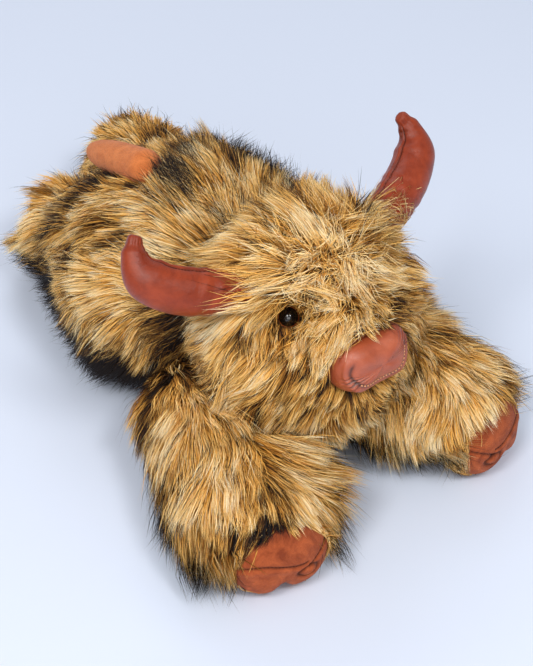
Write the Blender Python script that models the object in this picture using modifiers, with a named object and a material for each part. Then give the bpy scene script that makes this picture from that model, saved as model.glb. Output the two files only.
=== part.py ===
"""A long-pile plush cow lying on its belly: covers, fillings, hooves, horns, nose and eyes.

Metres, +Z up. The cow faces -Y and its left side is +X. The origin is on the floor,
under the middle of the whole length. Places along the cow are written as the distance
behind the centres of the front hooves, which place() turns into Y.
"""

import math

import bmesh
import bpy
from mathutils import Matrix, Vector
from mathutils.bvhtree import BVHTree

# Clearances and overruns
gap = 0.0003
swing_clearance = 0.0009
room_merge = 0.003
head_room_merge = 0.008
cut_overrun = 0.004
floor_cut = 0.0005

# The origin's distance behind the front hooves: half way along the whole length
middle_behind = 0.21017

# Torso, with its pile
torso_front = 0.112
torso_back = 0.348
torso_half_width = 0.098
torso_top = 0.150
torso_rear_drop = 0.008
torso_front_spread = 0.006
torso_bend_spread = 0.013
torso_rear_spread = 0.034
torso_pile = 0.028
torso_fullness_share = 2.25
belly_flat = 0.006
belly_panel_length = 0.120
belly_panel_width = 0.084
belly_panel_thickness = 0.0025
belly_panel_behind = 0.224
belly_panel_spread = 0.0165
belly_opening_height = 0.012

# Head, with its pile
head_front = 0.023
head_back = 0.160
head_half_width = 0.080
head_top = 0.200
head_bottom = 0.020
head_pile = 0.040
muzzle_pile = 0.012
head_clearance = 0.007
head_turn_deg = 15.0
head_nod_up_deg = 12.0
head_nod_down_deg = 10.0

# Neck filling, a ball on which the head nods and turns
neck_radius = 0.042
neck_behind = 0.140
neck_height = 0.100

# Eyes: a dome with a stem, held by a washer behind the backing cloth
eye_diameter = 0.0142
eye_spread = 0.0292
eye_behind = 0.0715
eye_height = 0.1405
eye_aim_behind = 0.110
eye_flange = 0.0012
eye_stem_diameter = 0.0046
eye_stem_length = 0.012
eye_pocket_margin = 0.0025
eye_pocket_mouth_radius = 0.020
eye_pocket_reach = 0.050
cloth_backing = 0.0015
washer_diameter = 0.0165
washer_thickness = 0.0016
washer_depth = 0.0013

# Nose pad
nose_width = 0.055
nose_height = 0.034
nose_depth = 0.034
nose_front = 0.016
nose_centre_height = 0.1185
nose_tip_rise = 0.004
leather_thickness = 0.0014

# Horns, on a curve from the head out to the side and up
horn_root_spread = 0.0438
horn_root_behind = 0.0825
horn_root_height = 0.1636
horn_bend_spread = 0.1294
horn_bend_behind = 0.1066
horn_bend_height = 0.1733
horn_tip_spread = 0.1043
horn_tip_behind = 0.122
horn_tip_height = 0.2069
horn_root_half_width = 0.0145
horn_root_half_thickness = 0.0135

# Hooves
hoof_spread = 0.090
hoof_half_width = 0.033
hoof_height = 0.046
hoof_toe_reach = 0.0095
hoof_heel_reach = 0.030
hoof_seam_height = 0.022
hoof_cleft_half_width = 0.004
hoof_cleft_depth = 0.009
hoof_cleft_height = 0.019
suede_thickness = 0.0016

# Legs, with their pile
leg_root_radius = 0.038
leg_pile = 0.017
shoulder_spread = 0.055
shoulder_behind = 0.138
shoulder_height = 0.0395
left_hip_spread = 0.082
left_hip_behind = 0.340
right_hip_spread = -0.001
right_hip_behind = 0.302
hip_height = 0.0395
hind_leg_length = 0.076
front_pile_set_back = 0.004
hind_pile_overhang = 0.006
front_splay_deg = 25.0
hind_splay_deg = 20.0

# Tail, lying on the rump
tail_radius = 0.0125
tail_root_behind = 0.262
tail_root_height = 0.138
tail_tip_behind = 0.335
tail_tip_height = 0.112
tail_root_spread = 0.002
tail_tip_spread = 0.008
tail_lift_deg = 60.0

# How the width and the height of a form swell and taper along it:
# share along the form, share of the half width, share of the half height
even_shares = ((0.0, 1.0, 1.0), (1.0, 1.0, 1.0))
torso_swell_shares = ((0.0, 0.94, 0.97), (0.45, 1.0, 1.0), (1.0, 0.95, 0.96))
head_swell_shares = ((0.0, 0.97, 0.98), (0.45, 1.0, 1.0), (1.0, 0.82, 0.90))
leg_swell_shares = ((0.0, 1.0, 1.0), (0.45, 1.30, 1.13), (0.8, 1.54, 1.17), (1.0, 1.48, 1.10))
hind_leg_swell_shares = ((0.0, 1.0, 1.0), (0.5, 1.04, 1.08), (1.0, 0.98, 1.0))
horn_swell_shares = ((0.0, 0.92, 0.92), (0.3, 1.02, 1.02), (0.58, 0.96, 0.96), (0.87, 0.55, 0.55),
                     (0.94, 0.39, 0.39), (1.0, 0.43, 0.43))
tail_swell_shares = ((0.0, 1.0, 1.0), (0.6, 1.02, 1.0), (1.0, 0.98, 0.96))

# Fullness of each form's ends: 2 is a sphere's, more is blunter
head_fullness_share = 2.15
nose_fullness_share = 2.6
horn_fullness_share = 5.0
hoof_fullness_share = 2.2
leg_fullness_share = 4.0
tail_fullness_share = 3.0
eye_dome_share = 0.92
cleft_out_share = 0.5

# Facets
torso_sides = 20
torso_rings = 12
head_sides = 20
head_rings = 13
nose_sides = 16
nose_rings = 9
horn_sides = 12
horn_rings = 13
hoof_sides = 14
hoof_rings = 9
leg_sides = 14
leg_rings = 10
tail_sides = 10
tail_rings = 9
panel_sides = 24
neck_sides = 18
neck_rings = 11
eye_sides = 14
eye_dome_steps = 4
room_sides = 18
room_rings = 12
head_room_sides = 14
head_room_rings = 9
socket_sides = 20
socket_rings = 12
cleft_sides = 10
cleft_rings = 6
sharp_angle_deg = 50.0
merge_distance = 0.00001


def place(spread, behind, height):
    """A point at this distance to the cow's left, behind its front hooves, and up."""
    return Vector((spread, behind - middle_behind, height))


def shares_at(shares, along):
    """The width and height shares at a share along a form, eased between the table's rows."""
    for (low, *first), (high, *second) in zip(shares, shares[1:]):
        if along <= high:
            part = min(max((along - low) / (high - low), 0.0), 1.0)
            eased = part * part * (3 - 2 * part)
            return [a + (b - a) * eased for a, b in zip(first, second)]
    return list(shares[-1][1:])


def spine_at(spine, along):
    """The point and the direction on the curve that start, bend and end pull."""
    start, bend, end = spine
    rest = 1 - along
    point = start * rest * rest + bend * 2 * rest * along + end * along * along
    direction = (bend - start) * rest + (end - bend) * along
    return point, direction.normalized()


def straight(start, end):
    return start, (start + end) / 2, end


def collection(name):
    made = bpy.data.collections.new(name)
    bpy.context.scene.collection.children.link(made)
    return made


def object_from(name, bm, holder):
    mesh = bpy.data.meshes.new(name)
    bm.to_mesh(mesh)
    bm.free()
    mesh.shade_smooth()
    mesh.set_sharp_from_angle(angle=math.radians(sharp_angle_deg))
    made = bpy.data.objects.new(name, mesh)
    holder.objects.link(made)
    return made


def stuffed_form(name, holder, spine, half_width, half_height, shares, sides, rings,
                 fullness_share=2.0, ball_root=False, up=Vector((0, 0, 1)), grow=0.0):
    """A sphere drawn out along a spine, swelling and tapering; grow lets it out all round.

    Each four-cornered facet is split the same way, so that nested forms keep their distance.
    """
    bm = bmesh.new()
    bmesh.ops.create_uvsphere(bm, u_segments=sides, v_segments=rings, radius=1.0)
    root_shares = shares_at(shares, 0.0)
    root_direction = spine_at(spine, 0.0)[1]
    end_direction = spine_at(spine, 1.0)[1]
    for vert in bm.verts:
        across, lift, pole = vert.co
        around = math.hypot(across, lift) or 1.0
        across, lift = across / around, lift / around
        if ball_root:
            along = max(pole, 0.0)
        else:
            along = (1 + pole) / 2
        point, direction = spine_at(spine, along)
        side = up.cross(direction).normalized()
        top = direction.cross(side).normalized()
        if ball_root and pole < 0:
            wide = half_width * root_shares[0] + grow
            ring = math.sqrt(1 - pole * pole)
            point = spine[0] + root_direction * pole * wide
            high = wide
        else:
            wide_share, high_share = shares_at(shares, along)
            wide = half_width * wide_share + grow
            high = half_height * high_share + grow
            ring = max(1 - abs(pole) ** fullness_share, 0.0) ** (1 / fullness_share)
            if not ball_root:
                point = point + root_direction * min(pole, 0.0) * grow
            point = point + end_direction * max(pole, 0.0) * grow
        vert.co = point + side * across * ring * wide + top * lift * ring * high
    bmesh.ops.triangulate(bm, faces=bm.faces, quad_method="FIXED")
    return object_from(name, bm, holder)


def about(centre, axis, degrees):
    """The matrix of a turn about an axis through a centre."""
    there = Matrix.Translation(centre)
    return there @ Matrix.Rotation(math.radians(degrees), 4, axis) @ there.inverted()


def room(name, holder, form, moves, merge=room_merge):
    """The hull of a form in several positions: the space that a moving piece needs."""
    bm = bmesh.new()
    for move in moves:
        for vert in form.data.vertices:
            bm.verts.new(move @ vert.co)
    bmesh.ops.remove_doubles(bm, verts=bm.verts, dist=merge)
    hull = bmesh.ops.convex_hull(bm, input=bm.verts)
    inside = {spot for spot in hull["geom_interior"] + hull["geom_unused"] if isinstance(spot, bmesh.types.BMVert)}
    bmesh.ops.delete(bm, geom=list(inside), context="VERTS")
    return object_from(name, bm, holder)


def ball(name, holder, centre, radius, sides, rings):
    bm = bmesh.new()
    turned = Matrix.Translation(centre)
    bmesh.ops.create_uvsphere(bm, u_segments=sides, v_segments=rings, radius=radius, matrix=turned)
    return object_from(name, bm, holder)


def block(name, holder, low, high):
    bm = bmesh.new()
    size = high - low
    matrix = Matrix.Translation((low + high) / 2) @ Matrix.Diagonal((*size, 1.0))
    bmesh.ops.create_cube(bm, size=1.0, matrix=matrix)
    return object_from(name, bm, holder)


def standing(centre, direction):
    """The matrix that stands a shape's own Z along a direction, at a centre."""
    return Matrix.Translation(centre) @ direction.to_track_quat("Z", "Y").to_matrix().to_4x4()


def frustum(name, holder, centre, direction, low, high, low_radius, high_radius, sides):
    """A round cutter or plug between two distances along a direction."""
    bm = bmesh.new()
    matrix = standing(centre + direction * (low + high) / 2, direction)
    bmesh.ops.create_cone(bm, cap_ends=True, segments=sides, radius1=low_radius,
                          radius2=high_radius, depth=high - low, matrix=matrix)
    return object_from(name, bm, holder)


def turned(name, holder, profile, centre, direction, steps):
    """A profile of (radius, height) points, top to bottom, turned about a direction."""
    bm = bmesh.new()
    points = [bm.verts.new((radius, 0, height)) for radius, height in profile]
    for first, second in zip(points, points[1:]):
        bm.edges.new((first, second))
    made = object_from(name, bm, holder)
    made.matrix_world = standing(centre, direction)
    screw = made.modifiers.new("turn", "SCREW")
    screw.steps = steps
    screw.render_steps = steps
    screw.use_merge_vertices = True
    screw.merge_threshold = merge_distance
    return made


def boolean(target, operation, *others):
    """One operation with all the other forms at once, so that each form goes into it whole."""
    together = bpy.data.collections.new(target.name + "_and_others")
    for other in others:
        together.objects.link(other)
    modifier = target.modifiers.new(together.name, "BOOLEAN")
    modifier.operation = operation
    modifier.solver = "EXACT"
    modifier.operand_type = "COLLECTION"
    modifier.collection = together
    return target


def cut(target, *others):
    return boolean(target, "DIFFERENCE", *others)


def keep_inside(target, *others):
    return boolean(target, "INTERSECT", *others)


def material(name, color, roughness, metallic=0.0):
    made = bpy.data.materials.new(name)
    made.use_nodes = True
    shader = made.node_tree.nodes["Principled BSDF"]
    shader.inputs["Base Color"].default_value = (*color, 1.0)
    shader.inputs["Roughness"].default_value = roughness
    shader.inputs["Metallic"].default_value = metallic
    return made


# Colours by finish: red, green, blue, roughness
finish_shares = {
    "fur": (0.47, 0.27, 0.11, 0.9),
    "filling": (0.85, 0.84, 0.80, 0.95),
    "leather": (0.32, 0.075, 0.03, 0.4),
    "suede": (0.41, 0.12, 0.045, 0.85),
    "tail_suede": (0.52, 0.18, 0.075, 0.85),
    "eye": (0.01, 0.008, 0.006, 0.06),
    "washer": (0.86, 0.86, 0.84, 0.5),
    "belly": (0.30, 0.20, 0.11, 0.9),
}


def finish(piece, kind):
    *color, roughness = finish_shares[kind]
    piece.data.materials.clear()
    piece.data.materials.append(material(piece.name, color, roughness))
    return piece


def torso_form(name, holder, pile_off=0.0, grow=0.0):
    """The torso with its pile, or the filling under the pile, down to the belly panel."""
    top = torso_top - pile_off
    low = -belly_flat
    half_height = (top - low) / 2
    start = place(torso_front_spread, torso_front + pile_off, (top + low) / 2)
    bend = place(torso_bend_spread, (torso_front + torso_back) / 2, (top + low) / 2)
    end = place(torso_rear_spread, torso_back - pile_off, (top + low) / 2 - torso_rear_drop)
    return stuffed_form(name, holder, (start, bend, end), torso_half_width - pile_off, half_height,
                        torso_swell_shares, torso_sides, torso_rings, torso_fullness_share, grow=grow)


def head_form(name, holder, pile_off=0.0, grow=0.0, sides=head_sides, rings=head_rings):
    """The head with its pile, or the filling under the pile."""
    front_off = pile_off * muzzle_pile / head_pile
    centre_height = (head_top + head_bottom) / 2
    start = place(0, head_back - pile_off, centre_height)
    end = place(0, head_front + front_off, centre_height)
    return stuffed_form(name, holder, straight(start, end), head_half_width - pile_off,
                        (head_top - head_bottom) / 2 - pile_off, head_swell_shares, sides, rings,
                        head_fullness_share, grow=grow)


def nose_form(name, holder, let_in=0.0, grow=0.0):
    """A cushion, wide across the muzzle; let_in draws it in for the hollow, which runs out behind."""
    start = place(0, nose_front + nose_depth + let_in * 2, nose_centre_height)
    end = place(0, nose_front + let_in, nose_centre_height + nose_tip_rise)
    return stuffed_form(name, holder, straight(start, end), nose_width / 2 - let_in, nose_height / 2 - let_in,
                        even_shares, nose_sides, nose_rings, nose_fullness_share, grow=grow)


def horn_form(name, holder, side, let_in=0.0, grow=0.0):
    """A horn's outside, or its hollow, which runs out at the root."""
    start = place(side * horn_root_spread, horn_root_behind, horn_root_height)
    bend = place(side * horn_bend_spread, horn_bend_behind, horn_bend_height)
    end = place(side * horn_tip_spread, horn_tip_behind, horn_tip_height)
    outward = (bend - start).normalized()
    inward_end = (end - bend).normalized()
    spine = (start - outward * let_in * 3, bend, end - inward_end * let_in)
    return stuffed_form(name, holder, spine, horn_root_half_width - let_in, horn_root_half_thickness - let_in,
                        horn_swell_shares, horn_sides, horn_rings, horn_fullness_share,
                        up=(end - start).cross(bend - start), grow=grow)


def hoof_form(name, holder, centre, direction, let_in=0.0, grow=0.0):
    """A blunt cushion that stands on the floor; its hollow runs out at the heel."""
    half_height = (hoof_height + floor_cut) / 2
    lift = Vector((0, 0, half_height - floor_cut))
    start = centre - direction * (hoof_heel_reach + let_in * 2) + lift
    end = centre + direction * (hoof_toe_reach - let_in) + lift
    return stuffed_form(name, holder, straight(start, end), hoof_half_width - let_in, half_height - let_in,
                        even_shares, hoof_sides, hoof_rings, hoof_fullness_share, grow=grow)


def leg_form(name, holder, leg, let_in=0.0, grow=0.0, sides=leg_sides, rings=leg_rings):
    """A leg with its pile, from a ball at the root to the end of the pile over the hoof."""
    return stuffed_form(name, holder, straight(leg["root"], leg["pile_end"] - leg["direction"] * let_in),
                        leg_root_radius - let_in, leg_root_radius - let_in, leg["shares"], sides, rings,
                        leg_fullness_share, ball_root=True, grow=grow)


def tail_root():
    return place(tail_root_spread, tail_root_behind, tail_root_height)


def tail_form(name, holder, let_in=0.0, grow=0.0, sides=tail_sides, rings=tail_rings):
    """A round-ended tube; its hollow runs out at the root."""
    start = tail_root()
    end = place(tail_tip_spread, tail_tip_behind, tail_tip_height)
    back = (end - start).normalized()
    spine = straight(start - back * let_in * 3, end - back * let_in)
    return stuffed_form(name, holder, spine, tail_radius - let_in, tail_radius - let_in, tail_swell_shares,
                        sides, rings, tail_fullness_share, ball_root=True, grow=grow)


def legs():
    """Each leg's root, hoof centre, direction, pile end and outward turn about its root's upright axis."""
    found = {}
    for side_name, side in (("left", 1), ("right", -1)):
        root = place(side * shoulder_spread, shoulder_behind, shoulder_height)
        hoof = place(side * hoof_spread, 0, 0)
        direction = ((hoof - root) * Vector((1, 1, 0))).normalized()
        pile_end = Vector((hoof.x, hoof.y, shoulder_height)) - direction * front_pile_set_back
        found["front_" + side_name] = dict(root=root, hoof=hoof, direction=direction, pile_end=pile_end,
                                           shares=leg_swell_shares, splay=side * front_splay_deg)
    backwards = Vector((0, 1, 0))
    overhang = backwards * (hoof_toe_reach + hind_pile_overhang)
    for side_name, side, spread, behind in (("left", 1, left_hip_spread, left_hip_behind),
                                            ("right", -1, right_hip_spread, right_hip_behind)):
        root = place(spread, behind, hip_height)
        hoof = place(spread, behind + hind_leg_length, 0)
        pile_end = Vector((hoof.x, hoof.y, hip_height)) + overhang
        found["hind_" + side_name] = dict(root=root, hoof=hoof, direction=backwards, pile_end=pile_end,
                                          shares=hind_leg_swell_shares, splay=-side * hind_splay_deg)
    return found


def splay_moves(leg, sign):
    """The leg's turns at rest and fully out; with sign -1, its neighbours' turns as it sees them."""
    return [about(leg["root"], "Z", sign * turn) for turn in (0, leg["splay"])]


def head_moves():
    """The head's positions across its turn on the neck and its nod."""
    centre = place(0, neck_behind, neck_height)
    return [about(centre, "Z", turn) @ about(centre, "X", nod)
            for turn in (-head_turn_deg, 0, head_turn_deg)
            for nod in (-head_nod_up_deg, 0, head_nod_down_deg)]


def eye_places(hollow):
    """Each eye's seat on the head's hollow, and the way it looks, away from the head's middle."""
    middle_of_head = place(0, eye_aim_behind, (head_top + head_bottom) / 2)
    skin = BVHTree.FromPolygons([vert.co for vert in hollow.data.vertices],
                                [face.vertices for face in hollow.data.polygons])
    found = {}
    for side_name, side in (("left", 1), ("right", -1)):
        look = (place(side * eye_spread, eye_behind, eye_height) - middle_of_head).normalized()
        seat = skin.ray_cast(middle_of_head, look)[0]
        found[side_name] = (seat, look)
    return found


def clear_scene():
    for old in list(bpy.data.objects):
        bpy.data.objects.remove(old)


def build_torso(plush, cutters, floor, limbs, neck_socket, head_room):
    """The furry cover, the panel that closes it below, and the filling."""
    leg_rooms = [limb["room"] for limb in limbs.values()]
    panel_centre = place(belly_panel_spread, belly_panel_behind, 0)
    panel_cutter = oval_panel("belly_opening", cutters, panel_centre, gap, -cut_overrun, belly_opening_height)
    core_cutter = torso_form("torso_hollow", cutters, torso_pile)
    cover = finish(torso_form("torso_cover", plush), "fur")
    tail_space = tail_form("tail_space", cutters, grow=swing_clearance, sides=room_sides, rings=room_rings)
    tail_lifts = [about(tail_root(), "X", tail_lift_deg * part) for part in (0, 1 / 2, 1)]
    tail_room = room("tail_room", cutters, tail_space, tail_lifts)
    cut(cover, floor, core_cutter, panel_cutter, *leg_rooms, head_room, neck_socket, tail_room)
    panel = finish(oval_panel("belly_panel", plush, panel_centre, 0, 0, belly_panel_thickness), "belly")
    filling = finish(torso_form("torso_filling", plush, torso_pile, grow=-gap), "filling")
    reach = torso_half_width + torso_rear_spread
    plate = block("panel_space", cutters, place(-reach, torso_front, -reach),
                  place(reach, torso_back, belly_panel_thickness + gap))
    cut(filling, plate, *leg_rooms, head_room, neck_socket, tail_room)
    return cover, panel, filling


def oval_panel(name, holder, centre, grow, low, high):
    """An upright oval slab between two heights."""
    bm = bmesh.new()
    size = Vector((belly_panel_width / 2 + grow, belly_panel_length / 2 + grow, high - low))
    matrix = Matrix.Translation(centre + Vector((0, 0, (low + high) / 2))) @ Matrix.Diagonal((*size, 1.0))
    bmesh.ops.create_cone(bm, cap_ends=True, segments=panel_sides, radius1=1.0, radius2=1.0, depth=1.0,
                          matrix=matrix)
    return object_from(name, bm, holder)


def build_neck(plush):
    """A ball of filling that the head turns and nods on."""
    centre = place(0, neck_behind, neck_height)
    return finish(ball("neck_filling", plush, centre, neck_radius, neck_sides, neck_rings), "filling")


def build_head(plush, cutters, neck_socket):
    """The furry cover and its filling, with the eyes, nose and horns let into them."""
    cover = finish(head_form("head_cover", plush), "fur")
    filling = finish(head_form("head_filling", plush, head_pile, grow=-gap), "filling")
    hollow = head_form("head_hollow", cutters, head_pile)
    nose_space = nose_form("nose_space", cutters, grow=gap)
    horn_spaces = [horn_form("horn_space", cutters, side, grow=gap) for side in (1, -1)]
    eye_cutters, seat_cutters = [], []
    for side_name, (seat, look) in eye_places(hollow).items():
        pocket = frustum("eye_pocket_" + side_name, cutters, seat, look, cloth_backing, eye_pocket_reach,
                         eye_diameter / 2 + eye_pocket_margin, eye_pocket_mouth_radius, eye_sides)
        stem_hole = frustum("stem_hole_" + side_name, cutters, seat, look, -eye_stem_length - cut_overrun,
                            cloth_backing + cut_overrun, eye_stem_diameter / 2 + gap,
                            eye_stem_diameter / 2 + gap, eye_sides)
        washer_hole = frustum("washer_hole_" + side_name, cutters, seat, look,
                              -washer_depth - washer_thickness - gap, cut_overrun,
                              washer_diameter / 2 + gap, washer_diameter / 2 + gap, eye_sides)
        washer_seat = frustum("washer_seat_" + side_name, cutters, seat, look,
                              -washer_depth - washer_thickness - gap, -washer_depth + gap,
                              washer_diameter / 2 + gap, washer_diameter / 2 + gap, eye_sides)
        eye_cutters += [pocket, stem_hole, washer_seat]
        seat_cutters += [stem_hole, washer_hole]
        build_eye(plush, side_name, seat, look)
    cut(cover, hollow, nose_space, *horn_spaces, neck_socket, *eye_cutters)
    cut(filling, nose_space, *horn_spaces, neck_socket, *seat_cutters)
    nose = finish(nose_form("nose_pad", plush), "leather")
    nose_hollow = nose_form("nose_hollow", cutters, leather_thickness)
    cut(nose, nose_hollow)
    nose_filling = finish(nose_form("nose_filling", plush, leather_thickness, grow=-gap), "filling")
    keep_inside(nose_filling, nose_form("nose_outside", cutters))
    for side_name, side in (("left", 1), ("right", -1)):
        horn = finish(horn_form("horn_" + side_name, plush, side), "leather")
        cut(horn, horn_form("horn_hollow_" + side_name, cutters, side, leather_thickness))
        core = finish(horn_form("horn_filling_" + side_name, plush, side, leather_thickness, grow=-gap), "filling")
        keep_inside(core, horn_form("horn_outside_" + side_name, cutters, side))


def build_eye(plush, side_name, seat, look):
    """A moulded dome with its stem, and the washer that locks it behind the cloth."""
    radius = eye_diameter / 2
    stem = eye_stem_diameter / 2
    back = cloth_backing + gap
    rim = back + eye_flange
    profile = [(radius * math.sin(turn), rim + radius * math.cos(turn) * eye_dome_share)
               for turn in (math.pi / 2 * step / eye_dome_steps for step in range(eye_dome_steps + 1))]
    profile += [(radius, back), (stem, back), (stem, back - eye_stem_length), (0, back - eye_stem_length)]
    finish(turned("eye_" + side_name, plush, profile, seat, look, eye_sides), "eye")
    bore = stem + gap
    outer = washer_diameter / 2
    low = -washer_depth - washer_thickness
    ring = [(bore, -washer_depth), (outer, -washer_depth), (outer, low), (bore, low), (bore, -washer_depth)]
    finish(turned("eye_washer_" + side_name, plush, ring, seat, look, eye_sides), "washer")


def limb_rooms(cutters, head_room):
    """For each leg, the room its swing needs, and the room the head needs as the leg sees it."""
    limbs = legs()
    for name, leg in limbs.items():
        swing = leg_form("swing_" + name, cutters, leg, grow=swing_clearance, sides=room_sides, rings=room_rings)
        leg["room"] = room("room_" + name, cutters, swing, splay_moves(leg, 1))
        leg["neighbours"] = []
        if name.startswith("front"):
            leg["neighbours"] = [room("head_room_" + name, cutters, head_room, splay_moves(leg, -1), head_room_merge)]
    return limbs


def build_leg(plush, cutters, floor, name, leg):
    """A furry cover over its filling, and a stuffed hoof with an upper and a sole."""
    cover = finish(leg_form("leg_cover_" + name, plush, leg), "fur")
    hoof_space = hoof_form("hoof_space_" + name, cutters, leg["hoof"], leg["direction"], grow=gap)
    hollow = leg_form("leg_hollow_" + name, cutters, leg, leg_pile)
    filling = finish(leg_form("leg_filling_" + name, plush, leg, leg_pile, grow=-gap), "filling")
    cut(cover, floor, hollow, hoof_space, *leg["neighbours"])
    cut(filling, hoof_space, *leg["neighbours"])
    hoof_hollow = hoof_form("hoof_hollow_" + name, cutters, leg["hoof"], leg["direction"], suede_thickness)
    cleft = cleft_wedge("cleft_" + name, cutters, leg)
    inner_cleft = cleft_wedge("inner_cleft_" + name, cutters, leg, suede_thickness)
    cut(hoof_hollow, inner_cleft)
    seam = hoof_seam_height
    reach = Vector((hoof_heel_reach + hoof_toe_reach, hoof_heel_reach + hoof_toe_reach, 0))
    above = block("above_" + name, cutters, leg["hoof"] - reach + Vector((0, 0, seam - gap / 2)),
                  leg["hoof"] + reach + Vector((0, 0, hoof_height + cut_overrun)))
    below = block("below_" + name, cutters, leg["hoof"] - reach - Vector((0, 0, cut_overrun)),
                  leg["hoof"] + reach + Vector((0, 0, seam + gap / 2)))
    upper = finish(hoof_form("hoof_upper_" + name, plush, leg["hoof"], leg["direction"]), "suede")
    cut(upper, hoof_hollow, cleft, below)
    sole = finish(hoof_form("hoof_sole_" + name, plush, leg["hoof"], leg["direction"]), "suede")
    cut(sole, floor, hoof_hollow, cleft, above)
    core = finish(hoof_form("hoof_filling_" + name, plush, leg["hoof"], leg["direction"], suede_thickness,
                            grow=-gap), "filling")
    keep_inside(core, hoof_form("hoof_outside_" + name, cutters, leg["hoof"], leg["direction"]))
    cut(core, cleft_wedge("core_cleft_" + name, cutters, leg, suede_thickness + gap))


def cleft_wedge(name, holder, leg, grow=0.0):
    """The notch that parts a hoof's two toes, at the front and below."""
    bm = bmesh.new()
    toe = leg["hoof"] + leg["direction"] * (hoof_toe_reach + hoof_cleft_depth * cleft_out_share)
    size = Vector((hoof_cleft_half_width + grow, hoof_cleft_depth * (1 + cleft_out_share) + grow,
                   hoof_cleft_height + grow))
    turn = leg["direction"].to_track_quat("Y", "Z").to_matrix().to_4x4()
    matrix = Matrix.Translation(toe) @ turn @ Matrix.Diagonal((*size, 1.0))
    bmesh.ops.create_uvsphere(bm, u_segments=cleft_sides, v_segments=cleft_rings, radius=1.0, matrix=matrix)
    return object_from(name, bm, holder)


def build_tail(plush, cutters):
    tail = finish(tail_form("tail_cover", plush), "tail_suede")
    cut(tail, tail_form("tail_hollow", cutters, suede_thickness))
    core = finish(tail_form("tail_filling", plush, suede_thickness, grow=-gap), "filling")
    keep_inside(core, tail_form("tail_outside", cutters))


def main():
    clear_scene()
    plush = collection("plush_cow")
    cutters = collection("cutters")
    reach = torso_back + hind_leg_length
    floor = block("floor", cutters, Vector((-reach, -reach, -reach)), Vector((reach, reach, 0)))
    neck_socket = ball("neck_socket", cutters, place(0, neck_behind, neck_height), neck_radius + swing_clearance,
                       socket_sides, socket_rings)
    head_space = head_form("head_space", cutters, grow=head_clearance, sides=head_room_sides,
                           rings=head_room_rings)
    head_room = room("head_room", cutters, head_space, head_moves(), head_room_merge)
    limbs = limb_rooms(cutters, head_room)
    build_torso(plush, cutters, floor, limbs, neck_socket, head_room)
    build_neck(plush)
    build_head(plush, cutters, neck_socket)
    for name, leg in limbs.items():
        build_leg(plush, cutters, floor, name, leg)
    build_tail(plush, cutters)
    for cutter in cutters.objects:
        cutter.hide_render = True
        cutter.display_type = "WIRE"


main()
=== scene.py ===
import math

import bmesh
import bpy
import numpy as np
from mathutils import Matrix, Vector
from mathutils.kdtree import KDTree


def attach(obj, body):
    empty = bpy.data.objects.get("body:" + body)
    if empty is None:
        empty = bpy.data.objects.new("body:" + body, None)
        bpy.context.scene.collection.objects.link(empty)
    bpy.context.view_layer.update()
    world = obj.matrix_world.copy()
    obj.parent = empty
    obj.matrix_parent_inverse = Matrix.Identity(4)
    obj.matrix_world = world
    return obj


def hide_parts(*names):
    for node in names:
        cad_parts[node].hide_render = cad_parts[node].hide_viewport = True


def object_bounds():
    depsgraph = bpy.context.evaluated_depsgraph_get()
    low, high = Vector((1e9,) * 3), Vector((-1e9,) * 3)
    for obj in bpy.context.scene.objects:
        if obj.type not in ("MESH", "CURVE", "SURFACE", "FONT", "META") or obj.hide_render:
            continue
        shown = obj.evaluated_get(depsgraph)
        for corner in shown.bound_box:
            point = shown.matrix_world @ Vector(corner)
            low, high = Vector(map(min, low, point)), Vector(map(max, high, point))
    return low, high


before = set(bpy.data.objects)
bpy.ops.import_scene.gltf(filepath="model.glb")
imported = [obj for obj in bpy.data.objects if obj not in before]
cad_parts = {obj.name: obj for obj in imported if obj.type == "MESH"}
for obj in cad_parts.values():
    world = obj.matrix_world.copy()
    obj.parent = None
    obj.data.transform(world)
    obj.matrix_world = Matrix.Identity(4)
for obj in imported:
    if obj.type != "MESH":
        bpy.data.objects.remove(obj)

# The plush cow's looks: skins, fur, leather, suede, eyes, floor, light and camera.
# Metres, +Z up. The cow faces -Y and its left side is +X.

solid_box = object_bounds()
# How far the middle of the solids lies behind the front hooves' soles.
middle_behind = 0.21017
upright = Vector((0, 0, 1))


def place(spread, behind, height):
    """A point at this distance to the cow's left, behind its front hooves, and up."""
    return Vector((spread, behind - middle_behind, height))


# Camera, light and floor

view_turn, view_rise, view_distance = -38.85, 38.58, 1.2042
lamp_distance = 2.2


def way_back(turn, rise):
    """The way from the cow to something this many degrees round from its nose and up."""
    turn, rise = math.radians(turn), math.radians(rise)
    return Vector((math.sin(turn) * math.cos(rise), -math.cos(turn) * math.cos(rise), math.sin(rise)))


def set_view():
    """The photograph's camera, with its long lens."""
    back = way_back(view_turn, view_rise)
    lens = bpy.data.cameras.new("view")
    lens.sensor_fit = "HORIZONTAL"
    lens.sensor_width = 36.0
    lens.lens = 121.7
    lens.shift_x = 0.041
    lens.shift_y = -0.0146
    camera = bpy.data.objects.new("view", lens)
    camera.location = place(0, 0.150, 0.070) + back * view_distance
    camera.rotation_euler = back.to_track_quat("Z", "Y").to_euler()
    bpy.context.scene.collection.objects.link(camera)
    bpy.context.scene.camera = camera


def soft_box(name, turn, rise, size, power, color):
    """A soft lamp that looks at the cow from this far round and up."""
    back = way_back(turn, rise)
    light = bpy.data.lights.new(name, "AREA")
    light.shape = "RECTANGLE"
    light.size, light.size_y = size
    light.energy = power
    light.color = color
    made = bpy.data.objects.new(name, light)
    made.location = Vector((0, -0.05, 0.06)) + back * lamp_distance
    made.rotation_euler = back.to_track_quat("Z", "Y").to_euler()
    bpy.context.scene.collection.objects.link(made)


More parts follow.
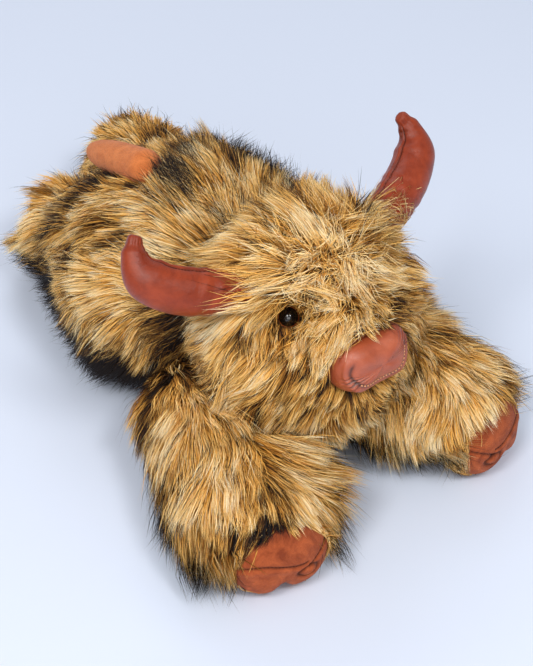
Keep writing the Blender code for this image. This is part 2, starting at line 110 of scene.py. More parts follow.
def set_light():
    """A pale sky, and four soft lamps."""
    world = bpy.data.worlds.new("studio")
    world.use_nodes = True
    tree = world.node_tree
    sky = tree.nodes["Background"]
    sky.inputs["Color"].default_value = (0.94, 0.96, 1.0, 1)
    sky.inputs["Strength"].default_value = 0.40
    seen = tree.nodes.new("ShaderNodeBackground")
    seen.inputs["Color"].default_value = (0.70, 0.76, 0.90, 1)
    path = tree.nodes.new("ShaderNodeLightPath")
    both = node(tree, "ShaderNodeMixShader", i0=path.outputs["Is Camera Ray"], i1=sky.outputs[0],
                i2=seen.outputs[0])
    tree.links.new(both.outputs[0], tree.nodes["World Output"].inputs["Surface"])
    bpy.context.scene.world = world
    bpy.context.scene.view_settings.view_transform = "Standard"
    soft_box("left", -66, 50, (0.7, 0.7), 23, (1, 0.98, 0.95))
    soft_box("right", -8, 52, (0.45, 0.45), 16, (1, 0.99, 0.97))
    soft_box("front", -38, 22, (1.3, 1.0), 9, (1, 0.99, 0.97))
    soft_box("behind", 150, 48, (1.2, 0.7), 9, (0.95, 0.97, 1))


def set_floor():
    """A plain pale floor."""
    bm = bmesh.new()
    bmesh.ops.create_grid(bm, x_segments=1, y_segments=1, size=4.0)
    mesh = bpy.data.meshes.new("floor")
    bm.to_mesh(mesh)
    bm.free()
    floor = bpy.data.objects.new("floor", mesh)
    bpy.context.scene.collection.objects.link(floor)
    mesh.materials.append(plain_material("floor", (0.68, 0.745, 0.885), 0.9)[0])


# Nodes

def plain_material(name, color, roughness):
    """A material with its node tree and its shader."""
    made = bpy.data.materials.new(name)
    made.use_nodes = True
    shader = made.node_tree.nodes["Principled BSDF"]
    shader.inputs["Base Color"].default_value = (*color, 1)
    shader.inputs["Roughness"].default_value = roughness
    return made, made.node_tree, shader


def node(tree, kind, settings=None, **inputs):
    """A node with its settings, and its inputs set or linked by name, or by number as i0, i1."""
    made = tree.nodes.new(kind)
    for key, value in (settings or {}).items():
        setattr(made, key, value)
    for key, value in inputs.items():
        socket = made.inputs[int(key[1:])] if key[1:].isdigit() else made.inputs[key.replace("_", " ")]
        if isinstance(value, bpy.types.NodeSocket):
            tree.links.new(value, socket)
        else:
            socket.default_value = value
    return made


def sum_of(tree, operation, first, second):
    """Adds, multiplies or otherwise joins two values."""
    return node(tree, "ShaderNodeMath", {"operation": operation}, i0=first, i1=second).outputs[0]


def blend_of(tree, share, first, second, kind="MIX"):
    """Mixes two colours by a share."""
    made = node(tree, "ShaderNodeMix", {"data_type": "RGBA", "blend_type": kind})
    for socket, value in ((made.inputs[0], share), (made.inputs[6], first), (made.inputs[7], second)):
        if isinstance(value, bpy.types.NodeSocket):
            tree.links.new(value, socket)
        else:
            socket.default_value = value
    return made.outputs[2]


def ramp_of(tree, share, *stops):
    """A colour ramp through (position, colour) stops."""
    made = node(tree, "ShaderNodeValToRGB", i0=share)
    ramp = made.color_ramp
    while len(ramp.elements) < len(stops):
        ramp.elements.new(0.5)
    for element, (position, color) in zip(ramp.elements, stops):
        element.position = position
        element.color = (*color, 1) if len(color) == 3 else color
    return made.outputs[0]


def seen_color(red, green, blue):
    """A colour as a screen shows it, from 0 to 255, made linear."""
    return tuple((value / 255 / 12.92) if value < 11 else ((value / 255 + 0.055) / 1.055) ** 2.4
                 for value in (red, green, blue))


def noise_of(tree, where, scale, detail, roughness=0.55, distortion=0.0):
    """Noise from about 0.3 to 0.7."""
    made = node(tree, "ShaderNodeTexNoise", Vector=where, Scale=scale, Detail=detail, Roughness=roughness,
                Distortion=distortion)
    return made.outputs[0]


def stretch_of(tree, value, low=0.0, high=1.0, first=0.0, last=1.0, eased="LINEAR"):
    """A value that goes from first to last while another goes from low to high."""
    made = node(tree, "ShaderNodeMapRange", {"interpolation_type": eased}, Value=value, i1=low, i2=high,
                i3=first, i4=last)
    return made.outputs[0]


def new_group(name):
    """A shader node group that makes a colour, a roughness and a height of a colour and its deep shade."""
    group = bpy.data.node_groups.new(name, "ShaderNodeTree")
    for direction, label, kind in (("INPUT", "Color", "Color"), ("INPUT", "Deep Color", "Color"),
                                   ("OUTPUT", "Color", "Color"), ("OUTPUT", "Roughness", "Float"),
                                   ("OUTPUT", "Height", "Float")):
        group.interface.new_socket(name=label, in_out=direction, socket_type="NodeSocket" + kind)
    return group, group.nodes.new("NodeGroupInput"), group.nodes.new("NodeGroupOutput")


# How bright the painted shade at the bottom of a seam or pleat is, as a share of the deep colour.
painted_shade_share = 0.16


def leather_group():
    """Smooth thin leather: fine grain, soft creases and a little mottling."""
    group, enter, leave = new_group("leather_grain")
    where = node(group, "ShaderNodeTexCoord").outputs["Object"]
    cells = node(group, "ShaderNodeTexVoronoi", {"feature": "DISTANCE_TO_EDGE"}, Vector=where, Scale=1500.0)
    pebbles = stretch_of(group, cells.outputs[0], 0.0, 0.25)
    fine = noise_of(group, where, 3500.0, 2.0)
    mottle = noise_of(group, where, 75.0, 5.0, 0.6, 0.6)
    crease = noise_of(group, where, 120.0, 3.0, 0.5, 2.2)
    white = (1, 1, 1)
    line = ramp_of(group, crease, (0.0, white), (0.47, white), (0.5, (0, 0, 0)), (0.53, white))
    pores = ramp_of(group, pebbles, (0.0, (0.55, 0.5, 0.48)), (1.0, white))
    share = stretch_of(group, mottle, 0.36, 0.68)
    color = blend_of(group, share, enter.outputs["Deep Color"], enter.outputs["Color"])
    # Darker along the creases.
    crease_darkened = blend_of(group, 0.10, color, line, "MULTIPLY")
    group.links.new(blend_of(group, 0.16, crease_darkened, pores, "MULTIPLY"), leave.inputs["Color"])
    group.links.new(stretch_of(group, mottle, 0.3, 0.7, 0.26, 0.38), leave.inputs["Roughness"])
    grain = sum_of(group, "MULTIPLY", pebbles, 0.45)
    grain = sum_of(group, "ADD", grain, sum_of(group, "MULTIPLY", fine, 0.2))
    grain = sum_of(group, "ADD", grain, sum_of(group, "MULTIPLY", line, 0.35))
    group.links.new(grain, leave.inputs["Height"])
    return group


def nap_group():
    """Brushed suede: short fibres, soft patches where the nap lies another way."""
    group, enter, leave = new_group("suede_nap")
    where = node(group, "ShaderNodeTexCoord").outputs["Object"]
    fibres = noise_of(group, where, 1300.0, 4.0, 0.7, 1.5)
    patches = noise_of(group, where, 90.0, 4.0, 0.6, 1.0)
    share = stretch_of(group, patches, 0.34, 0.66)
    color = blend_of(group, share, enter.outputs["Deep Color"], enter.outputs["Color"])
    speck = ramp_of(group, fibres, (0.25, (0.45, 0.42, 0.4)), (0.55, (1, 1, 1)), (0.8, (1.0, 0.95, 0.9)))
    group.links.new(blend_of(group, 0.75, color, speck, "MULTIPLY"), leave.inputs["Color"])
    group.links.new(stretch_of(group, fibres, first=0.82, last=0.98), leave.inputs["Roughness"])
    group.links.new(fibres, leave.inputs["Height"])
    return group


def grained_material(name, group, color, deep_color, bump, distance, sheen=0.0, shine=0.3):
    """A material that takes its colour, roughness and height from a group, with painted shade in its grooves
    and a hoof upper's own darker tone.
    """
    made, tree, shader = plain_material(name, color, 0.5)
    effect = node(tree, "ShaderNodeGroup", {"node_tree": group}, Color=(*color, 1),
                  Deep_Color=(*deep_color, 1))
    # The vertex value darkens the colour towards a share of the deep colour: painted shade in seams, pleats
    # and creases, and on the hooves also the upper's own darker tone.
    painted_shade_and_tone = node(tree, "ShaderNodeAttribute", {"attribute_name": "painted_shade_and_tone"})
    shade = tuple(painted_shade_share * value for value in deep_color)
    tree.links.new(blend_of(tree, painted_shade_and_tone.outputs["Fac"], effect.outputs["Color"], (*shade, 1)),
                   shader.inputs["Base Color"])
    tree.links.new(effect.outputs["Roughness"], shader.inputs["Roughness"])
    shader.inputs["Specular IOR Level"].default_value = shine
    relief = node(tree, "ShaderNodeBump", Strength=bump, Distance=distance, Height=effect.outputs["Height"])
    tree.links.new(relief.outputs[0], shader.inputs["Normal"])
    if sheen:
        shader.inputs["Sheen Weight"].default_value = sheen
        shader.inputs["Sheen Roughness"].default_value = 0.4
    return made


def fur_material():
    """Strand colours: across the map's first axis from black to cream, along the second from root to tip."""
    made, tree, shader = plain_material("long_pile", (0.5, 0.3, 0.12), 0.55)
    uv = node(tree, "ShaderNodeUVMap", {"uv_map": "OFBake"})
    parts = node(tree, "ShaderNodeSeparateXYZ", i0=uv.outputs[0])
    tone, along = parts.outputs[0], parts.outputs[1]
    root = ramp_of(tree, tone, (0.0, seen_color(22, 18, 17)), (0.3, seen_color(58, 36, 16)),
                   (0.6, seen_color(104, 64, 24)), (1.0, seen_color(158, 104, 46)))
    middle = ramp_of(tree, tone, (0.0, seen_color(27, 23, 24)), (0.16, seen_color(54, 38, 26)),
                     (0.3, seen_color(150, 94, 36)), (0.5, seen_color(226, 158, 66)),
                     (0.75, seen_color(246, 188, 94)), (1.0, seen_color(255, 220, 148)))
    tip = ramp_of(tree, tone, (0.0, seen_color(18, 16, 18)), (0.16, seen_color(34, 28, 26)),
                  (0.3, seen_color(134, 88, 38)), (0.5, seen_color(240, 184, 94)),
                  (0.75, seen_color(255, 218, 144)), (1.0, seen_color(255, 240, 202)))
    # Strands darken towards the root: partly the pile's own dark roots, partly painted shade deep in the
    # pile.
    low = stretch_of(tree, along, 0.12, 0.60, eased="SMOOTHSTEP")
    high = stretch_of(tree, along, 0.5, 0.9, eased="SMOOTHSTEP")
    color = blend_of(tree, low, root, middle)
    tree.links.new(blend_of(tree, high, color, tip), shader.inputs["Base Color"])
    shader.inputs["Specular IOR Level"].default_value = 0.12
    return made


def undercoat_material():
    """The dark woolly ground that shows where the pile parts."""
    made, tree, shader = plain_material("undercoat", seen_color(62, 42, 26), 0.95)
    where = node(tree, "ShaderNodeTexCoord").outputs["Object"]
    wool = noise_of(tree, where, 420.0, 5.0, 0.7, 1.2)
    tint = ramp_of(tree, wool, (0.3, seen_color(30, 21, 15)), (0.55, seen_color(70, 48, 28)),
                   (0.8, seen_color(112, 80, 46)))
    tree.links.new(tint, shader.inputs["Base Color"])
    relief = node(tree, "ShaderNodeBump", Strength=0.8, Distance=0.002, Height=wool)
    tree.links.new(relief.outputs[0], shader.inputs["Normal"])
    return made


# Forms

def shares_at(shares, along):
    """The width and height shares at a share along a form, eased between the table's rows."""
    for (low, *first), (high, *second) in zip(shares, shares[1:]):
        if along <= high:
            part = min(max((along - low) / (high - low), 0.0), 1.0)
            eased = part * part * (3 - 2 * part)
            return [a + (b - a) * eased for a, b in zip(first, second)]
    return list(shares[-1][1:])


def spine_at(spine, along):
    """The point and the direction on the curve that start, bend and end pull."""
    start, bend, end = spine
    rest = 1 - along
    point = start * rest * rest + bend * 2 * rest * along + end * along * along
    return point, ((bend - start) * rest + (end - bend) * along).normalized()


def straight(start, end):
    """A spine without a bend."""
    return start, (start + end) / 2, end


def form_point(form, turn, pole):
    """The point on a stuffed form at a turn about its spine and a place from pole to pole."""
    spine, wide, high, shares, fullness, ball_root, up = form
    along = max(pole, 0.0) if ball_root else (1 + pole) / 2
    point, direction = spine_at(spine, along)
    side = up.cross(direction).normalized()
    top = direction.cross(side).normalized()
    if ball_root and pole < 0:
        reach = wide * shares_at(shares, 0.0)[0]
        ring = math.sqrt(max(1 - pole * pole, 0.0))
        point = spine[0] + spine_at(spine, 0.0)[1] * pole * reach
        return point + (side * math.cos(turn) + top * math.sin(turn)) * ring * reach
    wide_share, high_share = shares_at(shares, along)
    ring = max(1 - abs(pole) ** fullness, 0.0) ** (1 / fullness)
    across = side * math.cos(turn) * ring * wide * wide_share
    return point + across + top * math.sin(turn) * ring * high * high_share


def form_mesh(form, sides, rings, relief=None):
    """A ball drawn out to a stuffed form; relief gives how far each point stands out, and how dark it is:
    painted shade in grooves, and on the hooves also the upper's own tone.
    """
    bm = bmesh.new()
    bmesh.ops.create_uvsphere(bm, u_segments=sides, v_segments=rings, radius=1.0)
    spots = []
    for vert in bm.verts:
        across, rise, pole = vert.co
        spots.append((math.atan2(rise, across), pole))
    for vert, (turn, pole) in zip(bm.verts, spots):
        vert.co = form_point(form, turn, pole)
    if bm.calc_volume(signed=True) < 0:
        bmesh.ops.reverse_faces(bm, faces=bm.faces)
    if relief:
        bm.normal_update()
        # This layer holds painted shade in seams, pleats and creases, and on the hooves also the upper's own
        # darker tone.
        painted_shade_and_tone = bm.verts.layers.float.new("painted_shade_and_tone")
        found = [relief(vert.co, turn, pole) for vert, (turn, pole) in zip(bm.verts, spots)]
        moves = [vert.normal * height for vert, (height, dark) in zip(bm.verts, found)]
        for vert, move, (height, dark) in zip(bm.verts, moves, found):
            vert.co += move
            vert[painted_shade_and_tone] = min(max(dark, 0.0), 1.0)
    return bm


def surface_at(form, relief, turn, pole):
    """A point on a form with its relief, and the way out of it there."""
    here = form_point(form, turn, pole)
    around = form_point(form, turn + 0.01, pole) - here
    ahead_of = form_point(form, turn, pole + 0.004) - here
    out = around.cross(ahead_of).normalized()
    if out.dot(here - spine_at(form[0], (1 + pole) / 2)[0]) < 0:
        out = -out
    return here + out * relief(here, turn, pole)[0], out


def dress(name, bm, body, finish, replaced=()):
    """Makes a piece of a mesh that lies in place, parents it to its body, and hides the solids that it stands
    for.
    """
    mesh = bpy.data.meshes.new(name)
    bm.to_mesh(mesh)
    bm.free()
    mesh.shade_smooth()
    mesh.materials.append(finish)
    made = bpy.data.objects.new(name, mesh)
    bpy.context.scene.collection.objects.link(made)
    if replaced:
        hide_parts(*replaced)
    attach(made, body)
    return made


def bump_at(value, centre, width):
    """A smooth hump of 1 at a centre."""
    return math.exp(-((value - centre) / width) ** 2)


# Shapes of the cow, as the solids have them

# Each row: a share along the form, then the shares of its half width and half height there.
torso_shares = ((0.0, 0.94, 0.97), (0.45, 1.0, 1.0), (1.0, 0.95, 0.96))
head_shares = ((0.0, 0.97, 0.98), (0.45, 1.0, 1.0), (1.0, 0.82, 0.90))
leg_shares = ((0.0, 1.0, 1.0), (0.45, 1.30, 1.13), (0.8, 1.54, 1.17), (1.0, 1.48, 1.10))
hind_leg_shares = ((0.0, 1.0, 1.0), (0.5, 1.04, 1.08), (1.0, 0.98, 1.0))
horn_shares = tuple((along, share, share) for along, share in (
    (0.0, 0.92), (0.3, 1.02), (0.58, 0.96), (0.87, 0.55), (0.94, 0.39), (1.0, 0.43)))
tail_shares = ((0.0, 1.0, 1.0), (0.6, 1.02, 1.0), (1.0, 0.98, 0.96))
even_shares = ((0.0, 1.0, 1.0), (1.0, 1.0, 1.0))

leg_height, leg_radius = 0.0395, 0.038
tail_ends = (place(0.002, 0.262, 0.138), place(0.008, 0.335, 0.112))
nose_half_width, nose_half_height, nose_fullness = 0.0275, 0.017, 2.6


# A form is its spine, half width, half height, shares, fullness, whether its root is a ball, and its up.

def torso_form(inset):
    """The body, bent towards its left behind; an inset makes any form smaller all round."""
    low, top = -0.006 + inset * 0.6, 0.150 - inset
    middle = (low + top) / 2
    spine = (place(0.008, 0.150, middle), place(0.013, 0.230, middle),
             place(0.033, 0.348 - inset, middle - 0.008))
    return spine, 0.098 - inset, (top - low) / 2, torso_shares, 2.25, False, upright


def head_form(inset):
    """The head, from its root in the neck to the face."""
    spine = straight(place(0, 0.160 - inset, 0.110), place(0, 0.023 + inset * 0.3, 0.110))
    return spine, 0.080 - inset, 0.090 - inset, head_shares, 2.15, False, upright


def nose_form():
    """The nose pad, which points a little up."""
    spine = straight(place(0, 0.050, 0.1185), place(0, 0.016, 0.1225))
    return spine, nose_half_width, nose_half_height, even_shares, nose_fullness, False, upright


def horn_form(side):
    """A horn that goes outward and curves up and back."""
    start = place(side * 0.0438, 0.0825, 0.1636)
    bend = place(side * 0.1294, 0.1066, 0.1733)
    end = place(side * 0.1043, 0.122, 0.2069)
    up = (end - start).cross(bend - start).cross(start - end)
    return (start, bend, end), 0.0135, 0.0145, horn_shares, 5.0, False, up


def hoof_form(leg):
    """A hoof at the end of its leg."""
    lift = Vector((0, 0, 0.02275))
    start = leg["hoof"] - leg["direction"] * 0.030 + lift
    end = leg["hoof"] + leg["direction"] * 0.0095 + lift
    return straight(start, end), 0.033, 0.02325, even_shares, 2.2, False, upright


def tail_form():
    """The tail, which lies back over the rump."""
    return straight(*tail_ends), 0.0125, 0.0125, tail_shares, 3.0, True, upright


def leg_form(leg, inset):
    """A leg's pile, from the body to its hoof."""
    end = leg["pile_end"] - leg["direction"] * inset
    radius = leg_radius - inset
    return straight(leg["root"], end), radius, radius, leg["shares"], 4.0, True, upright


def find_legs():
    """Each leg's root, hoof, direction, the end of its pile, its shares and its name among the solids."""
    found = {}
    for side_name, side in (("left", 1), ("right", -1)):
        root, hoof = place(side * 0.055, 0.138, leg_height), place(side * 0.090, 0, 0)
        direction = ((hoof - root) * Vector((1, 1, 0))).normalized()
        end = Vector((hoof.x, hoof.y, leg_height)) - direction * 0.004
        found["front_leg_" + side_name] = dict(root=root, hoof=hoof, direction=direction, pile_end=end,
                                               shares=leg_shares, cad="front_" + side_name)
    for side_name, spread, behind in (("left", 0.082, 0.340), ("right", -0.001, 0.302)):
        root, hoof = place(spread, behind, leg_height), place(spread, behind + 0.076, 0)
        end = place(spread, behind + 0.0915, leg_height)
        found["hind_leg_" + side_name] = dict(root=root, hoof=hoof, direction=Vector((0, 1, 0)), pile_end=end,
                                              shares=hind_leg_shares, cad="hind_" + side_name)
    return found


legs = find_legs()
# Each eye's seat on the cloth, and the way that it looks.
eyes = {side: (place(side * 0.0296, 0.07095, 0.1409), Vector((0.511 * side, -0.674, 0.534)).normalized())
        for side in (1, -1)}
face_centre = place(0, 0.062, 0.162)


# Fur

def unit(vectors):
    """The same directions, one long."""
    return vectors / np.maximum(np.linalg.norm(vectors, axis=-1, keepdims=True), 1e-9)


def drift(points, size, seed):
    """A value that wanders smoothly over space, mostly from -1 to 1."""
    chance = np.random.default_rng(seed)
    waves = chance.normal(size=(7, 3)) / size
    phase = chance.uniform(0, 6.283, 7)
    return np.sin(points @ waves.T + phase).sum(1) / 2.6


def ease(values, low, high):
    """0 up to a low value and 1 from a high one, smooth between them."""
    share = np.clip((values - low) / (high - low), 0, 1)
    return share * share * (3 - 2 * share)


def fade(distance, size):
    """1 at no distance, falling away smoothly over a size."""
    return np.exp(-(distance / size) ** 2)


# A strand is two quads and a triangle, so a piece of this many stays under 200,000 triangles.
segments = 3
along_strand = np.linspace(0, 1, segments + 1)
strands_a_piece = 39000
# Fabric may pass the solids' box by 3 % of each side and 10 mm, and strands keep within nine tenths of that.
far_corner = [side + 0.9 * (0.03 * (high - low) + 0.010) for side, low, high in zip(solid_box[1], *solid_box)]
# How many strands there are to a lock, how tightly they are drawn to it, how late along them, and how much
# its tone differs: locks, then tufts of locks, then large tufts.
lock_rows = ((12, 0.66, 1.1, 0.09), (60, 0.68, 1.3, 0.17), (360, 0.40, 1.6, 0.11))
black_width, tan_width = 0.00032, 0.00045
# Short woolly strands under the long ones, and strands that stray from their lock.
under_share, under_length, stray_share = 0.26, 0.66, 0.12
head_strands, torso_strands, front_leg_strands, hind_leg_strands = 104000, 108000, 42000, 24000


def ordered_triangles(mesh, spots):
    """The mesh's triangles, in an order that the spots alone decide, so that each run grows the same fur."""
    found = []
    for face in mesh.polygons:
        around = list(face.vertices)
        first = min(range(len(around)), key=lambda corner: tuple(spots[around[corner]]))
        around = around[first:] + around[:first]
        found += [(around[0], *pair) for pair in zip(around[1:], around[2:])]
    found = np.array(found)
    return found[np.lexsort(spots[found].mean(1).round(7).T)]


def roots_on(skin, count, weight, chance):
    """Random roots on a skin, with its normals, as dense as the weight asks."""
    mesh = skin.data
    spots = np.empty(len(mesh.vertices) * 3)
    mesh.vertices.foreach_get("co", spots)
    spots = spots.reshape(-1, 3)
    normals = np.empty(len(mesh.vertices) * 3)
    mesh.vertices.foreach_get("normal", normals)
    corners = ordered_triangles(mesh, spots)
    triangles = spots[corners]
    cross = np.cross(triangles[:, 1] - triangles[:, 0], triangles[:, 2] - triangles[:, 0])
    share = np.linalg.norm(cross, axis=1) * weight(triangles.mean(1), unit(cross))
    picked = chance.choice(len(share), count, p=share / share.sum())
    first, second = chance.random((2, count))
    over = first + second > 1
    first[over], second[over] = 1 - first[over], 1 - second[over]
    parts = np.stack([1 - first - second, first, second], 1)[..., None]
    root = (triangles[picked] * parts).sum(1)
    normal = unit((normals.reshape(-1, 3)[corners[picked]] * parts).sum(1))
    return root, normal


def strand_curves(root, normal, along, length, lean_root, lean_tip, bend, sag):
    """Strands that leave the skin at a lean, lie over further towards the tip, and bend sideways and down."""
    curve = [root]
    across = np.cross(normal, along)
    for step in range(segments):
        share = (step + 0.5) / segments
        lean = lean_root + (lean_tip - lean_root) * share ** 0.7
        turn = bend * (share - 0.3)
        flat = along * np.cos(turn)[:, None] + across * np.sin(turn)[:, None]
        heading = normal * np.cos(lean)[:, None] + flat * np.sin(lean)[:, None]
        heading[:, 2] -= sag * share
        curve.append(curve[-1] + unit(heading) * (length / segments)[:, None])
    return np.stack(curve, 1)


def gather(curves, locks, tight, power):
    """Draws strands towards the nearest of the first few strands, most of all at their tips."""
    tree = KDTree(locks)
    for index in range(locks):
        tree.insert(curves[index, 0], index)
    tree.balance()
    found = [tree.find(root) for root in curves[:, 0]]
    near = np.array([spot[1] for spot in found])
    off = np.array([spot[2] for spot in found])
    pull = tight[:, None] * along_strand ** power
    return curves + (curves[near] - curves) * pull[..., None], near, off / off.mean()


def into_box(curves):
    """Shortens the strands that would stand further out than fabric may."""
    root, tip = curves[:, :1], curves[:, -1:]
    room = np.array(far_corner) - np.sign(tip) * root
    inward = np.sign(tip) * (tip - root) <= 0
    share = np.min(room / np.maximum(np.abs(tip - root), 1e-6) + inward * 9, axis=2)
    return root + (curves - root) * np.clip(share, 0.2, 1)[..., None]


def out_of_ball(curves, centre, axes, radii):
    """Moves strand points out of a long ball with these axes."""
    local = (curves - np.array(centre)) @ np.array(axes).T / np.array(radii)
    distance = np.linalg.norm(local, axis=-1, keepdims=True)
    moved = np.where(distance < 1, local / np.maximum(distance, 0.05), local)
    return moved * np.array(radii) @ np.array(axes) + np.array(centre)


def out_of_tube(curves, spots, radii):
    """Moves strand points out of a row of balls."""
    for centre, radius in zip(spots, radii):
        offset = curves - np.array(centre)
        distance = np.linalg.norm(offset, axis=-1, keepdims=True)
        pushed = np.array(centre) + offset / np.maximum(distance, 1e-4) * radius
        curves = np.where(distance < radius, pushed, curves)
    return curves


def tube_of(form, steps, margin):
    """The row of balls that fills a horn or the tail."""
    spine, wide, high, shares = form[:4]
    spots, radii = [], []
    for step in range(steps):
        along = step / (steps - 1)
        spots.append(spine_at(spine, along)[0])
        radii.append(wide * shares_at(shares, along)[1] + margin)
    return spots, radii


def blades(name, curves, normal, tone, width, chance, body, cover, finish):
    """Builds flat tapering strands, each facing about as the skin does, with tone and length in its map."""
    points_each = 2 * segments + 1
    quads = [corner for step in range(segments - 1)
             for corner in (step, segments + step, segments + step + 1, step + 1)]
    corners = np.array(quads + [segments - 1, 2 * segments - 1, 2 * segments])
    firsts = np.array([4 * step for step in range(segments)])
    taper = np.array([0.72, 1.0, 0.8])
    height = np.array(list(along_strand[:-1]) * 2 + [1.0])
    for number, start in enumerate(range(0, len(curves), strands_a_piece)):
        part = slice(start, start + strands_a_piece)
        some, face = curves[part], unit(normal[part] + chance.normal(size=normal[part].shape) * 0.55)
        count = len(some)
        heading = unit(np.gradient(some, axis=1))
        side = unit(np.cross(heading, face[:, None, :]))
        half = (width[part][:, None] * taper / 2)[..., None]
        stem, edge = some[:, :-1], side[:, :-1] * half
        points = np.concatenate([stem - edge, stem + edge, some[:, -1:]], 1)
        points[..., 2] = np.maximum(points[..., 2], 0.0004)
        loops = (np.arange(count)[:, None] * points_each + corners).ravel()
        starts = (np.arange(count)[:, None] * len(corners) + firsts).ravel()
        mesh = bpy.data.meshes.new(name)
        mesh.vertices.add(count * points_each)
        mesh.vertices.foreach_set("co", points.ravel())
        mesh.loops.add(len(loops))
        mesh.loops.foreach_set("vertex_index", loops)
        mesh.polygons.add(len(starts))
        mesh.polygons.foreach_set("loop_start", starts)
        mesh.update(calc_edges=True)
        mesh.shade_smooth()
        layer = mesh.uv_layers.new(name="OFBake")
        tones = np.repeat(tone[part][:, None], points_each, 1)
        chart = np.stack([tones, np.repeat(height[None], count, 0)], -1)
        layer.data.foreach_set("uv", chart.reshape(-1, 2)[loops].ravel())
        lit = np.repeat(unit(face * 0.45 + normal[part] * 0.55)[:, None], points_each, 1).reshape(-1, 3)
        mesh.normals_split_custom_set_from_vertices(lit.tolist())
        mesh.materials.append(finish)
        piece = bpy.data.objects.new("%s_%d" % (name, number + 1), mesh)
        bpy.context.scene.collection.objects.link(piece)
        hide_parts(cover)
        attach(piece, body)


def grow_fur(name, skin, body, cover, count, seed, coat, finish):
    """Covers a skin with strands in pointed locks, as the coat's fields say."""
    chance = np.random.default_rng(seed)
    root, normal = roots_on(skin, count, coat["weight"], chance)
    along = coat["comb"](root, normal)
    along = unit(along - normal * (along * normal).sum(1, keepdims=True))
    across = np.cross(normal, along)
    stand = coat["stand"](root)
    swirl = drift(root, 0.024, seed + 1) * (0.42 + 0.8 * stand)
    swirl = swirl + drift(root, 0.008, seed + 5) * (0.25 + 1.5 * stand)
    swirl = swirl + chance.normal(size=count) * 0.13
    along = along * np.cos(swirl)[:, None] + across * np.sin(swirl)[:, None]
    along = np.where((chance.random(count) < 0.5 * stand)[:, None], -along, along)
    dark_share = coat["black"](root, normal)
    black = chance.random(count) < dark_share
    black[:count // lock_rows[0][0]] = False
    under = ~black & (chance.random(count) < under_share)
    reach = coat["length"](root) * (1 + 0.16 * drift(root, 0.015, seed + 2))
    reach = reach * chance.uniform(0.72, 1.05, count) * np.where(under, under_length, 1)
    reach = reach * np.where(black, chance.uniform(1.0, 1.35, count) + coat["guard"] * dark_share, 1)
    lean_root = coat["lean"] - 0.35 * stand + chance.normal(size=count) * 0.16
    lean_root = lean_root - np.where(black, 0.45 * dark_share, 0)
    lean_tip = 1.36 - 0.65 * stand + drift(root, 0.012, seed + 3) * 0.24 + chance.normal(size=count) * 0.12
    lean_tip = lean_tip - np.where(black, chance.uniform(0.0, 0.40, count) + 0.36 * dark_share, 0)
    bend = drift(root, 0.009, seed + 6) * 0.7 + chance.normal(size=count) * 0.2
    curves = strand_curves(root, normal, along, reach, lean_root, lean_tip, bend, coat["sag"])
    stray = chance.random(count) < stray_share
    loose = np.where(black, 0.42, np.where(stray, 0.12, 1.0)) * chance.uniform(0.7, 1.1, count)
    nearest, offs = [], []
    for strands, tight, power, differs in lock_rows:
        curves, near, off = gather(curves, count // strands, tight * loose, power)
        nearest.append(near)
        offs.append(off)
    wave = chance.normal(size=(count, 1, 3)) * np.linspace(0, 0.9, segments + 1)[None, :, None] * 0.0011
    curves = into_box(curves + wave)
    curves, kept = coat["clear"](curves, chance)
    curves[..., 2] = np.maximum(curves[..., 2], 0.0006 + chance.random(count)[:, None] * 0.002)
    shade = coat["tone"](root, normal) + 0.12 * drift(root, 0.016, seed + 4)
    for near, (strands, tight, power, differs) in zip(nearest, lock_rows):
        shade = shade + chance.normal(size=count)[near] * differs
    # Strands far from their tuft's middle are darker and those near it lighter: painted shade between tufts
    # and painted light on their ridges.
    shade = shade + chance.normal(size=count) * 0.08 - 0.24 * (np.minimum(offs[1], 2) - 0.95)
    # The short under strands are darker: partly the pile's own dark undercoat, partly painted shade between
    # the locks.
    shade = np.where(under, shade * 0.60, shade + 0.03)
    shade = np.where(black, chance.uniform(0.0, 0.13, count), np.clip(shade, 0.02, 0.98))
    width = np.where(black, black_width, tan_width) * chance.uniform(0.7, 1.3, count)
    blades(name, curves[kept], normal[kept], shade[kept], width[kept], chance, body, cover, finish)


def ahead(points):
    """Distance behind the front hooves."""
    return points[:, 1] + middle_behind


nose_middle = np.array(place(0, 0.031, 0.1205))
tail_start, tail_end = (np.array(end) for end in tail_ends)
horn_tubes = [tube_of(horn_form(side), 26, 0.0014) for side in (1, -1)]
# The tail's root stays in the pile, so only its last balls keep strands away.
tail_tube = [part[9:] for part in tube_of(tail_form(), 16, 0.0012)]


def distance(spots, centre):
    """How far each spot is from a centre."""
    return np.linalg.norm(spots - np.array(centre), axis=1)


def near_eyes(spots, size):
    """1 at an eye's middle, falling away over a distance."""
    return sum(fade(distance(spots, seat), size) for seat, look in eyes.values())


def near_nose(spots, size):
    """1 at the nose's middle, falling away over a distance."""
    offset = (spots - nose_middle) / np.array([1.5, 1.0, 1.0])
    return fade(np.linalg.norm(offset, axis=1), size)


def near_tail(spots, size):
    """1 along the tail, falling away over a distance."""
    line = tail_end - tail_start
    share = np.clip((spots - tail_start) @ line / (line @ line), 0, 1.1)
    return fade(np.linalg.norm(spots - tail_start - share[:, None] * line, axis=1), size)


def head_weight(spots, normals):
    """No strands under the nose, and few behind the head and below it."""
    covered = (((spots - nose_middle) / np.array([0.027, 0.026, 0.017])) ** 2).sum(1) < 1
    back = ease(ahead(spots), 0.120, 0.150)
    return np.where(covered, 0.0, 1.0) * (1 - 0.65 * back) * (1 - 0.55 * ease(-normals[:, 2], 0.5, 0.9))


